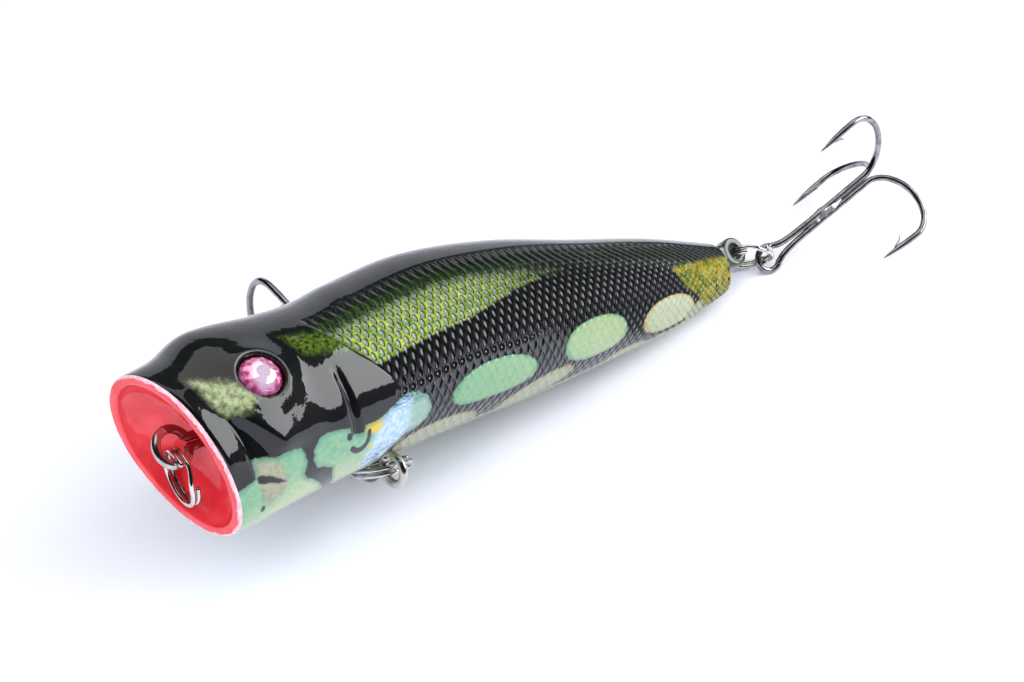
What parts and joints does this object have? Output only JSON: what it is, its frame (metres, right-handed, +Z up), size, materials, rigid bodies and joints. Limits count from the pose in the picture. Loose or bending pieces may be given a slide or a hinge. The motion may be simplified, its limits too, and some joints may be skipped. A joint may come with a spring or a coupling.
{
  "type": "topwater popper",
  "caption": "Floating hard bait with a cupped mouth that splashes when pulled, gem eyes, wire line tie, split rings, treble hooks, and a rattle and sliding weights inside.",
  "frame": {"origin": "centre of the whole lure's box, on the surface it lies on", "axes": "+X towards the tail, +Z up; the lure lies rolled on its right side with the nose raised by the belly treble"},
  "size_m": [0.0844, 0.0274, 0.0206],
  "materials": {
    "painted_body": "gloss clear coat over fish paint: black back, green band, mint and cream belly, red mouth",
    "eye_foil": "pink foil",
    "eye_gem": "clear pink faceted resin",
    "stainless": "drawn stainless wire",
    "chrome_ring": "bright nickel plate",
    "hook_wire": "dark nickel plate",
    "braze": "plated silver solder",
    "steel_ball": "polished steel"
  },
  "bodies": {
    "lure": {"body_half_left": "painted_body", "body_half_right": "painted_body", "eye_foil_left": "eye_foil", "eye_foil_right": "eye_foil", "eye_gem_left": "eye_gem", "eye_gem_right": "eye_gem", "line_tie": "stainless", "belly_hanger": "stainless", "ballast_ball": "steel_ball"},
    "front_ring": {"front_split_ring": "chrome_ring"},
    "belly_ring": {"belly_split_ring": "chrome_ring"},
    "belly_treble": {"belly_treble_double_hook": "hook_wire", "belly_treble_single_hook": "hook_wire", "belly_treble_braze": "braze"},
    "tail_ring": {"tail_split_ring": "chrome_ring"},
    "tail_treble": {"tail_treble_double_hook": "hook_wire", "tail_treble_single_hook": "hook_wire", "tail_treble_braze": "braze"},
    "upper_rattle": {"rattle_ball_upper": "steel_ball"},
    "lower_rattle": {"rattle_ball_lower": "steel_ball"},
    "rear_transfer": {"transfer_ball_rear": "steel_ball"},
    "front_transfer": {"transfer_ball_front": "steel_ball"}
  },
  "joints": [
    {"name": "front_ring_swing", "type": "hinge", "parent": "lure", "child": "front_ring", "pos_m": [-0.04053, -0.00458, 0.01482], "axis": [-0.1292, 0.7302, -0.6709], "range_deg": [0, 140]},
    {"name": "belly_ring_swing", "type": "hinge", "parent": "lure", "child": "belly_ring", "pos_m": [-0.02409, -0.00946, 0.00634], "axis": [0.982, 0, -0.1891], "range_deg": [-140, 0]},
    {"name": "belly_treble_swing", "type": "hinge", "parent": "belly_ring", "child": "belly_treble", "pos_m": [-0.02345, -0.00719, 0.00493], "axis": [0.2084, 0.4724, 0.8564], "range_deg": [-12, 25]},
    {"name": "tail_ring_swing", "type": "hinge", "parent": "lure", "child": "tail_ring", "pos_m": [0.02203, -0.00427, 0.00311], "axis": [-0.1292, 0.7302, -0.6709], "range_deg": [-70, 70]},
    {"name": "tail_treble_swing", "type": "hinge", "parent": "tail_ring", "child": "tail_treble", "pos_m": [0.02399, -0.00489, 0.0022], "axis": [0.4783, 0.6411, 0.6002], "range_deg": [-60, 60]},
    {"name": "upper_rattle_slide", "type": "slide", "parent": "lure", "child": "upper_rattle", "axis": [-0.982, 0, 0.1891], "range_m": [0, 0.0044]},
    {"name": "lower_rattle_slide", "type": "slide", "parent": "lure", "child": "lower_rattle", "axis": [-0.982, 0, 0.1891], "range_m": [0, 0.0044]},
    {"name": "rear_transfer_slide", "type": "slide", "parent": "lure", "child": "rear_transfer", "axis": [-0.982, 0, 0.1891], "range_m": [0, 0.0145]},
    {"name": "front_transfer_slide", "type": "slide", "parent": "lure", "child": "front_transfer", "axis": [-0.982, 0, 0.1891], "range_m": [0, 0.0145]}
  ],
  "couplings": [
    {"joint": "front_transfer_slide", "follows": "rear_transfer_slide", "ratio": 1}
  ]
}
